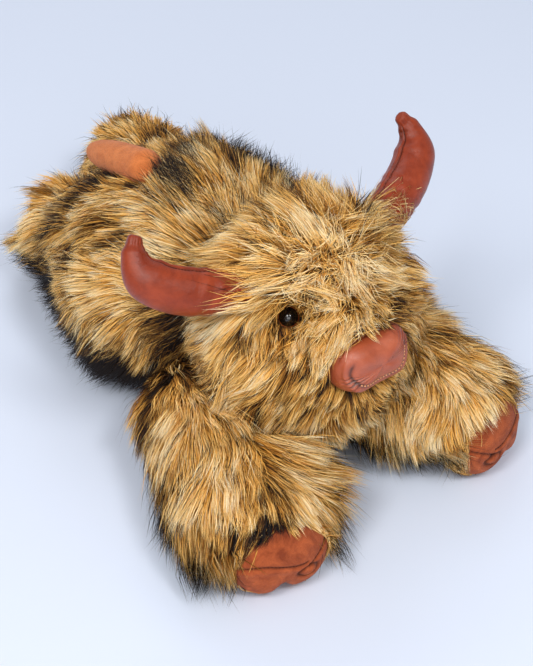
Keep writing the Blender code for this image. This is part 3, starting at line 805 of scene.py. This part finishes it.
def head_comb(spots, normals):
    """Away from the forehead's whorl, the eyes and the nose."""
    away = unit(spots - np.array(face_centre))
    away[:, 2] -= 0.15 + 0.5 * ease(ahead(spots), 0.10, 0.15)
    for seat, look in eyes.values():
        away = away + unit(spots - np.array(seat)) * fade(distance(spots, seat), 0.019)[:, None] * 2.2
    return away + unit(spots - nose_middle) * near_nose(spots, 0.026)[:, None] * 2.5


def head_length(spots):
    """Long pile, shorter on the face, the sides and round the eyes and the nose."""
    front = 1 - ease(ahead(spots), 0.030, 0.075)
    side = ease(np.abs(spots[:, 0]), 0.035, 0.065)
    short = (1 - 0.60 * np.clip(near_eyes(spots, 0.020), 0, 1)) * (1 - 0.3 * near_nose(spots, 0.024))
    return (0.046 - 0.017 * front - 0.005 * side) * short


def head_tone(spots, normals):
    """Brighter low on the chin and at the top, as painted light against their shade; darker behind and round
    the eyes.
    """
    low = 1 - ease(spots[:, 2], 0.03, 0.085)
    shade = 0.67 + 0.34 * low - 0.28 * ease(ahead(spots), 0.125, 0.155) + 0.04 * ease(spots[:, 2], 0.15, 0.18)
    return shade - 0.42 * near_eyes(spots - np.array([0, 0, -0.003]), 0.016)


def head_stand(spots):
    """Strands stand up at the forehead's whorl."""
    return fade(distance(spots, face_centre), 0.031)


def head_black(spots, normals):
    """A few black strands, more behind and low."""
    low = 1 - ease(spots[:, 2], 0.03, 0.07)
    return 0.02 + 0.12 * ease(ahead(spots), 0.10, 0.145) + 0.10 * low


def clear_head(curves, chance):
    """Keeps strands off the nose, the horns and the eyes."""
    curves = out_of_ball(curves, nose_middle, np.eye(3), (0.0305, 0.0200, 0.0200))
    for spots, radii in horn_tubes:
        curves = out_of_tube(curves, spots, radii)
    offset = curves - nose_middle
    face = (offset[..., 0] / 0.0275) ** 2 + ((offset[..., 2] + 0.002) / 0.018) ** 2
    over_nose = ((face < 0.80) & (offset[..., 1] < 0.004)).any(1)
    kept = ~(over_nose & (chance.random(len(curves)) < 0.985))
    for seat, look in eyes.values():
        offset = curves - np.array(seat)
        out = offset @ np.array(look)
        around = np.linalg.norm(offset - out[..., None] * np.array(look), axis=-1)
        kept &= ~((out > 0.0020) & (around < 0.0066 + 0.06 * np.clip(out, 0, 0.06))).any(1)
    return curves, kept


def torso_weight(spots, normals):
    """Few strands below and behind the head."""
    under = ease(-normals[:, 2], 0.5, 0.9)
    front = 1 - ease(ahead(spots), 0.150, 0.185)
    return (1 - 0.80 * under) * (1 - 0.55 * front)


def torso_comb(spots, normals):
    """Backwards and down the flanks, and away from the tail."""
    middle = 0.010 + 0.10 * (ahead(spots) - 0.17)
    sideways = (spots[:, 0] - middle) / 0.09
    flow = np.stack([sideways * 1.1, 0.9 + 0 * sideways, -0.25 - 0.9 * np.abs(sideways)], 1)
    aside = spots - (tail_start + tail_end) / 2
    aside[:, 1] = 0.02
    return flow + unit(aside) * near_tail(spots, 0.026)[:, None] * 1.6


def torso_length(spots):
    """Long pile, shorter at the tail, the rump and the low edge."""
    rump = ease(ahead(spots), 0.29, 0.33) * ease(spots[:, 2], 0.06, 0.10)
    low = 1 - ease(spots[:, 2], 0.02, 0.07)
    return 0.043 * (1 - 0.62 * near_tail(spots, 0.028)) * (1 - 0.38 * rump) * (1 - 0.30 * low)


def torso_crease(spots):
    """1 in the fold between the flank and the right thigh."""
    off = ahead(spots) + 0.55 * (spots[:, 2] - 0.08) - 0.300
    return fade(off, 0.0065) * ease(-spots[:, 0], -0.015, 0.0)


def torso_tone(spots, normals):
    """Tan, darker low, in front and at the tail; painted shade on the flanks, against the side lamp, and in
    the fold.
    """
    low = 1 - ease(spots[:, 2], 0.025, 0.075)
    front = 1 - ease(ahead(spots), 0.15, 0.18)
    flank = ease(np.abs(spots[:, 0] - 0.010), 0.035, 0.070)
    shade = 0.65 - 0.15 * flank - 0.22 * low - 0.22 * front
    return shade - 0.36 * torso_crease(spots) - 0.15 * near_tail(spots, 0.018)


def torso_black(spots, normals):
    """Black strands: nearly all low, many in front, and patches; more in the fold, as painted shade."""
    low = 1 - ease(spots[:, 2], 0.030, 0.075)
    front = 1 - ease(ahead(spots), 0.150, 0.185)
    behind = ease(ahead(spots), 0.325, 0.345)
    patches = ease(drift(spots, 0.020, 77), 0.55, 1.1)
    share = 0.05 + 0.85 * low + 0.30 * front + 0.12 * behind + 0.30 * patches + 0.16 * torso_crease(spots)
    return np.clip(share, 0, 0.80)


def clear_torso(curves, chance):
    """Keeps strands off the tail's end."""
    spots, radii = tail_tube
    curves = out_of_tube(curves, spots, radii)
    offset = curves - tail_start
    line = tail_end - tail_start
    share = offset @ line / (line @ line)
    beside = np.abs(offset[..., 0] - line[0] * share)
    above = (beside < 0.0145) & (offset[..., 2] > line[2] * share - 0.004) & (share > 0.58) & (share < 1.25)
    return curves, ~above.any(1)


def no_stand(spots):
    """Strands that nowhere stand up on end, as they do on the forehead."""
    return 0 * spots[:, 0]


def leg_coat(leg, front):
    """Where one leg's strands grow, which way they are combed, and what they keep clear of."""
    direction, root, hoof = (np.array(leg[key]) for key in ("direction", "root", "hoof"))
    beside = np.array([-direction[1], direction[0], 0])
    reach = float(np.linalg.norm((hoof - root)[:2]))

    def weight(spots, normals):
        under = ease(-normals[:, 2], 0.4, 0.85)
        rooted = ease((spots - root) @ direction, -0.02, 0.015)
        return (1 - 0.75 * under) * (0.15 + 0.85 * rooted)

    def comb(spots, normals):
        sideways = (spots - root) @ beside / 0.045
        flow = direction[None] + beside[None] * sideways[:, None] * 1.5
        flow[:, 2] -= 0.35 + 0.30 * np.abs(sideways)
        return flow

    def length(spots):
        near_hoof = ease((spots - root) @ direction, reach - 0.035, reach)
        rooted = ease((spots - root) @ direction, -0.02, 0.02)
        under = 1 - ease(spots[:, 2], 0.008, 0.030)
        return (0.045 - (0.015 if front else 0.032) * near_hoof) * (0.6 + 0.4 * rooted) * (1 - 0.35 * under)

    def tone(spots, normals):
        near_hoof = ease((spots - root) @ direction, reach - 0.050, reach - 0.015)
        low = (1 - ease(spots[:, 2], 0.012, 0.050)) * (1 - 0.7 * near_hoof)
        parting = fade((spots - root) @ beside, 0.008)
        # Painted shade in the parting along the leg's middle; also darker low, less so near the hoof, and
        # where the leg meets the body.
        return 0.68 - 0.26 * low - 0.24 * parting - 0.2 * (1 - ease((spots - root) @ direction, 0.0, 0.03))

    def black(spots, normals):
        low = 1 - ease(spots[:, 2], 0.014, 0.048)
        near_hoof = ease((spots - root) @ direction, reach - 0.050, reach - 0.015)
        return 0.04 + 0.62 * low * (1 - 0.90 * near_hoof)

    centre = hoof - direction * 0.01025 + np.array([0, 0, 0.0225])
    axes = np.stack([beside, direction, np.array([0, 0, 1.0])])

    def clear(curves, chance):
        curves = out_of_ball(curves, centre, axes, (0.0355, 0.0225, 0.0252))
        offset = curves - hoof
        out, side = offset @ direction, offset @ beside
        over = ((out > 0.0) & (np.abs(side) < 0.036) & (curves[..., 2] < 0.041)).any(1)
        return curves, ~(over & (chance.random(len(curves)) < (0.985 if front else 0.6)))

    return dict(weight=weight, comb=comb, length=length, tone=tone, stand=no_stand, black=black, clear=clear,
                lean=0.75, guard=0.35, sag=0.3)


# A coat says, at each root, how dense the strands are, which way they are combed, how long, bright and
# upright they are and how many are black; then what they keep clear of, how far they lean from the skin's
# normal in radians, how much longer black ones are, and how much they sag.
head_coat = dict(weight=head_weight, comb=head_comb, length=head_length, tone=head_tone, stand=head_stand,
                 black=head_black, clear=clear_head, lean=0.70, guard=0.3, sag=0.25)
torso_coat = dict(weight=torso_weight, comb=torso_comb, length=torso_length, tone=torso_tone,
                  stand=no_stand, black=torso_black, clear=clear_torso, lean=0.98, guard=0.7, sag=0.25)


# Pieces

skin_height = 0.0042


def lift(bm, height):
    """Flattens what lies lower than a height."""
    for vert in bm.verts:
        vert.co.z = max(vert.co.z, height)


def press_in_eyes(bm):
    """Presses the skin in round each eye, flat at the eye and easing out to the pocket's edge."""
    flat, edge, depth = 0.0070, 0.030, 0.021
    for vert in bm.verts:
        for seat, look in eyes.values():
            offset = vert.co - seat
            out = offset.dot(look)
            around = (offset - look * out).length
            if out > -0.004 and around < edge:
                share = min(max((around - flat) / (edge - flat), 0.0), 1.0)
                target = 0.0012 + share * share * (3 - 2 * share) * depth
                if out > target:
                    vert.co -= look * (out - target)


def make_skins(finish):
    """The woolly ground under the pile."""
    skins = {}
    bm = form_mesh(torso_form(0.017), 64, 44)
    lift(bm, skin_height)
    skins["torso"] = dress("torso_undercoat", bm, "torso", finish,
                           ("torso_cover", "torso_filling"))
    bm = form_mesh(head_form(0.020), 72, 52)
    press_in_eyes(bm)
    skins["head"] = dress("head_undercoat", bm, "head", finish, ("head_cover", "head_filling"))
    spine, radius = straight(place(0, 0.181, 0.100), place(0, 0.099, 0.100)), 0.0415
    bm = form_mesh((spine, radius, radius, even_shares, 2.0, False, upright), 40, 28)
    skins["neck"] = dress("neck_undercoat", bm, "neck", finish, ("neck_filling",))
    for body, leg in legs.items():
        bm = form_mesh(leg_form(leg, 0.012), 44, 40)
        lift(bm, skin_height)
        skins[body] = dress(body + "_undercoat", bm, body, finish,
                            ("leg_cover_" + leg["cad"], "leg_filling_" + leg["cad"]))
    return skins


def make_stitches(name, form, relief, path, body, finish, length, thickness):
    """Thread dashes: small long balls set along a seam's turns and places from pole to pole."""
    bm = bmesh.new()
    spots = [surface_at(form, relief, turn, pole) for turn, pole in path]
    for (centre, out), (following, beyond) in zip(spots, spots[1:]):
        direction = (following - centre).normalized()
        out = (out - direction * out.dot(direction)).normalized()
        centre = centre + out * thickness * 0.35
        side = direction.cross(out).normalized()
        turned = Matrix((direction, side, out)).transposed().to_4x4()
        size = Matrix.Diagonal((length / 2, thickness / 2, thickness / 2, 1))
        shape = Matrix.Translation(centre) @ turned @ size
        bmesh.ops.create_uvsphere(bm, u_segments=6, v_segments=5, radius=1.0, matrix=shape)
    return dress(name, bm, body, finish)


def turn_from(turn, centre):
    """How far a turn is from another, the short way round."""
    return math.atan2(math.sin(turn - centre), math.cos(turn - centre))


def make_horns(leather, thread):
    """Stuffed horns with a sewn seam, rolls at the root, and a pinch and a gathered knob at the tip."""
    for side_name, side, seam_shift in (("left", 1, 0.16), ("right", -1, -0.50)):
        form = horn_form(side)
        seam_turn = math.pi / 2 + seam_shift

        def relief(point, turn, pole):
            along = (1 + pole) / 2
            seam = side * turn_from(turn, seam_turn)
            knob = bump_at(along, 0.955, 0.045)
            sewn = min(1.0, (1 - along) * 12)
            crease = bump_at(seam, 0.0, 0.055) * sewn
            height = 0.0006 * bump_at(seam, -0.16, 0.10) * sewn - 0.0008 * crease
            gather = math.sin(turn * 9 + 2.5 * math.sin(turn * 2)) * knob
            roll = math.sin(along * 78 + 2.6 * math.sin(turn)) * bump_at(along, 0.22, 0.10)
            pinch = bump_at(along, 0.885, 0.02) * bump_at(turn_from(turn, math.pi / 2), 0.0, 0.7)
            height += 0.00018 * gather + 0.00035 * roll - 0.0010 * pinch
            # The second value is painted shade in the seam's crease, the pinch and the hollows of the gathers
            # and rolls.
            return height, 0.60 * crease + 0.10 * max(0.0, -gather) + 0.40 * pinch + 0.10 * max(0.0, -roll)

        bm = form_mesh(form, 96, 110, relief)
        dress("horn_" + side_name + "_leather", bm, "head", leather,
              ("horn_" + side_name, "horn_filling_" + side_name))
        path = [(seam_turn, -0.84 + 1.70 * step / 36) for step in range(37)]
        make_stitches("horn_" + side_name + "_stitches", form, relief, path, "head",
                      thread, 0.0019, 0.0006)


def make_nose(leather, thread):
    """A boxed pad with a sewn edge, pleated at two corners."""
    form, boxiness = nose_form(), 3.6

    def seam_at(turn):
        """How far towards the front pole the seam lies, further below."""
        return 0.71 + 0.15 * max(0.0, math.cos(turn + math.pi / 2))

    def relief(point, turn, pole):
        ring = max(1 - abs(pole) ** nose_fullness, 0.0) ** (1 / nose_fullness)
        boxed = (abs(math.cos(turn)) ** boxiness + abs(math.sin(turn)) ** boxiness) ** (-1 / boxiness) - 1
        low = turn_from(turn, -math.pi / 2)
        sewn = min(1.0, max(0.0, (2.2 - abs(low)) * 4))
        seam = bump_at(pole, seam_at(turn), 0.040) * sewn
        welt = bump_at(pole, seam_at(turn) - 0.15, 0.08) * sewn
        corner = bump_at(low, 1.95, 0.34) + bump_at(low, -1.15, 0.26)
        fold = (0.5 + 0.5 * math.sin(turn * 38 + pole * 3)) ** 2
        pleat = corner * fold * bump_at(pole, seam_at(turn) - 0.06, 0.20)
        top = bump_at(pole, 0.30, 0.03) * max(0.0, 1 - sewn)
        height = 0.021 * ring * boxed + 0.0012 * welt - 0.0009 * seam - 0.0019 * pleat - 0.0006 * top
        # The second value is painted shade in the seam, the pleats and the dent along the top.
        return height, 0.90 * seam + 1.2 * pleat + 0.6 * top

    bm = form_mesh(form, 300, 90, relief)
    dress("nose_leather", bm, "head", leather, ("nose_pad", "nose_filling"))
    turns = [-math.pi / 2 - 0.9 + 2.65 * step / 21 for step in range(22)]
    make_stitches("nose_stitches", form, relief, [(turn, seam_at(turn)) for turn in turns], "head",
                  thread, 0.0017, 0.0011)


def make_hooves(suede, thread):
    """Stuffed hooves, cleft below, with a seam that ends in a curl."""
    curl_side = 0.013
    for body, leg in legs.items():
        form = hoof_form(leg)
        direction = leg["direction"]
        beside = Vector((-direction.y, direction.x, 0)) * (1 if "right" in body else -1)

        def seam_at(side):
            """The seam's height, waved as far as the curl and straight beyond it."""
            if side < curl_side:
                return 0.0285 + 0.0024 * math.cos((side + 0.017) * 120)
            return 0.0225 + (side - curl_side) * 0.55

        def relief(point, turn, pole):
            offset = point - leg["hoof"]
            side, out, rise = offset.dot(beside), offset.dot(direction), point.z
            front = min(1.0, max(0.0, (out + 0.022) / 0.012))
            seam = bump_at(rise, seam_at(side), 0.0008) * front
            curl = math.hypot((side - curl_side) / 0.0070, (rise - 0.0190) / 0.0040)
            ring, tuck = bump_at(curl, 1.0, 0.24) * front, bump_at(curl, 0.0, 0.7) * front
            notch = bump_at(side, -0.003, 0.0050) * max(0.0, 1 - rise / 0.017) * front
            lobes = bump_at(side, 0.016, 0.010) + bump_at(side, -0.016, 0.013)
            lobes *= bump_at(rise, 0.010, 0.008) * front
            welt = bump_at(rise, seam_at(side) - 0.0030, 0.0022) * front
            dents = math.sin(side * 260 + rise * 90) * math.sin(rise * 210 - side * 60)
            height = 0.0007 * welt - 0.0010 * seam - 0.0016 * ring + 0.0010 * tuck
            height += 0.0018 * lobes - 0.0080 * notch
            # The darkening is painted shade in the seam, the curl's ring and the notch, and the suede upper's
            # own darker tone above the seam.
            upper = 0.13 * min(1.0, max(0.0, (rise - seam_at(side)) / 0.001))
            return height + 0.0002 * dents, 0.75 * seam + 0.85 * ring + 0.35 * notch + upper

        bm = form_mesh(form, 150, 130, relief)
        lift(bm, 0.0002)
        cad = leg["cad"]
        dress("hoof_" + cad + "_suede", bm, body, suede,
              ("hoof_upper_" + cad, "hoof_sole_" + cad, "hoof_filling_" + cad))
        path = []
        for step in range(27):
            side = -0.030 + 0.060 * step / 26
            path.append(front_spot(form, leg["hoof"], beside, side, seam_at(side)))
        make_stitches("hoof_" + cad + "_stitches", form, relief, path, body, thread, 0.0015, 0.0006)


def front_spot(form, hoof, beside, side, rise):
    """The turn and the place from pole to pole where a hoof's front has this point."""
    def miss(spot):
        """How far a turn and a place are from the point."""
        offset = form_point(form, *spot) - hoof
        return math.hypot(offset.dot(beside) - side, offset.z - rise)

    turns = [-math.pi + math.tau * step / 60 for step in range(60)]
    poles = [0.02 + 0.97 * part / 29 for part in range(30)]
    best = min(((turn, pole) for turn in turns for pole in poles), key=miss)
    for size in (0.03, 0.01, 0.003):
        for nudge in range(12):
            turn, pole = best
            beyond = min(pole + size, 0.995)
            tried = (turn + size, pole), (turn - size, pole), (turn, beyond), (turn, pole - size)
            best = min(best, *tried, key=miss)
    return best


def make_tail(suede):
    """A plain stuffed tube."""
    bm = form_mesh(tail_form(), 48, 40)
    dress("tail_suede", bm, "tail", suede, ("tail_cover", "tail_filling"))


def make_eyes(gloss, rim):
    """Domes, each turned from a profile of radii and heights, in a flat rim."""
    radius, bulge, seat_height = 0.0061, 0.0062, 0.0026
    dome_profile = [(radius * math.cos(0.1 * step), seat_height + bulge * math.sin(0.1 * step))
                    for step in range(16)] + [(0, seat_height + bulge)]
    rim_profile = [(0, 0.0014), (0.0064, 0.0014), (0.0067, 0.0018), (0.0068, 0.0026), (0.0066, 0.0031),
                   (0.0059, 0.0034)]
    for side_name, side in (("left", 1), ("right", -1)):
        seat, look = eyes[side]
        turned = Matrix.Translation(seat) @ look.to_track_quat("Z", "Y").to_matrix().to_4x4()
        for name, profile, finish in (("eye_%s_dome" % side_name, dome_profile, gloss),
                                      ("eye_%s_rim" % side_name, rim_profile, rim)):
            bm = bmesh.new()
            points = [bm.verts.new((radius, 0, height)) for radius, height in profile]
            edges = [bm.edges.new(pair) for pair in zip(points, points[1:])]
            bmesh.ops.spin(bm, geom=points + edges, cent=(0, 0, 0), axis=(0, 0, 1), angle=math.tau, steps=48,
                           use_merge=True)
            bmesh.ops.remove_doubles(bm, verts=bm.verts, dist=0.00001)
            bmesh.ops.holes_fill(bm, edges=bm.edges)
            bmesh.ops.recalc_face_normals(bm, faces=bm.faces)
            bmesh.ops.transform(bm, matrix=turned, verts=bm.verts)
            dress(name, bm, "head", finish, ("eye_" + side_name,))


def make_belly(cloth):
    """The flat oval panel below."""
    bm = bmesh.new()
    centre = place(0.0165, 0.224, 0.00135)
    shape = Matrix.Translation(centre) @ Matrix.Diagonal((0.042, 0.060, 0.0012, 1))
    bmesh.ops.create_uvsphere(bm, u_segments=64, v_segments=24, radius=1.0)
    for vert in bm.verts:
        flat = min(1.0, abs(vert.co.z) * 2.2)
        vert.co.z = math.copysign(flat, vert.co.z)
    bmesh.ops.transform(bm, matrix=shape, verts=bm.verts)
    dress("belly_cloth", bm, "torso", cloth, ("belly_panel",))


def make_finishes():
    """The grained materials, by name."""
    grain, nap = leather_group(), nap_group()
    made = {}
    for name, group, color, deep_color, *rest in (
            ("horn_leather", grain, (160, 64, 32), (128, 46, 22), 0.30, 0.0004, 0.0, 0.34),
            ("nose_leather", grain, (184, 92, 58), (160, 72, 42), 0.30, 0.0004, 0.0, 0.60),
            ("hoof_suede", nap, (200, 100, 54), (150, 66, 32), 0.8, 0.0010, 0.06),
            ("tail_suede", nap, (232, 138, 76), (210, 116, 60), 0.7, 0.0008, 0.12),
            ("belly_cloth", nap, (140, 98, 58), (104, 70, 40), 0.8, 0.001, 0.3),
            ("thread", nap, (244, 180, 134), (232, 160, 114), 0.3, 0.0002),
            ("dark_thread", nap, (92, 36, 22), (70, 26, 16), 0.3, 0.0002)):
        made[name] = grained_material(name, group, seen_color(*color), seen_color(*deep_color), *rest)
    made["washer"] = grained_material("washer", nap, (0.86, 0.86, 0.84), (0.8, 0.8, 0.78), 0.1, 0.0001)
    return made


def main():
    """Sets the stage, then makes the pieces, and last the fur."""
    set_view()
    set_light()
    set_floor()
    finishes = make_finishes()
    gloss, tree, shader = plain_material("eye_gloss", (0.005, 0.004, 0.004), 0.02)
    shader.inputs["Specular IOR Level"].default_value = 0.8
    rim = plain_material("eye_rim", seen_color(168, 86, 40), 0.25)[0]
    undercoat, fur = undercoat_material(), fur_material()
    skins = make_skins(undercoat)
    make_nose(finishes["nose_leather"], finishes["thread"])
    make_horns(finishes["horn_leather"], finishes["dark_thread"])
    make_hooves(finishes["hoof_suede"], finishes["dark_thread"])
    make_tail(finishes["tail_suede"])
    make_eyes(gloss, rim)
    make_belly(finishes["belly_cloth"])
    for name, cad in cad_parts.items():
        if name.startswith("eye_washer"):
            cad.data.materials.clear()
            cad.data.materials.append(finishes["washer"])
    grow_fur("head_fur", skins["head"], "head", "head_cover", head_strands, 11, head_coat, fur)
    grow_fur("torso_fur", skins["torso"], "torso", "torso_cover", torso_strands, 21, torso_coat, fur)
    for number, (body, leg) in enumerate(legs.items()):
        front = body.startswith("front")
        count = front_leg_strands if front else hind_leg_strands
        grow_fur(body + "_fur", skins[body], body, "leg_cover_" + leg["cad"], count, 31 + 10 * number,
                 leg_coat(leg, front), fur)


main()
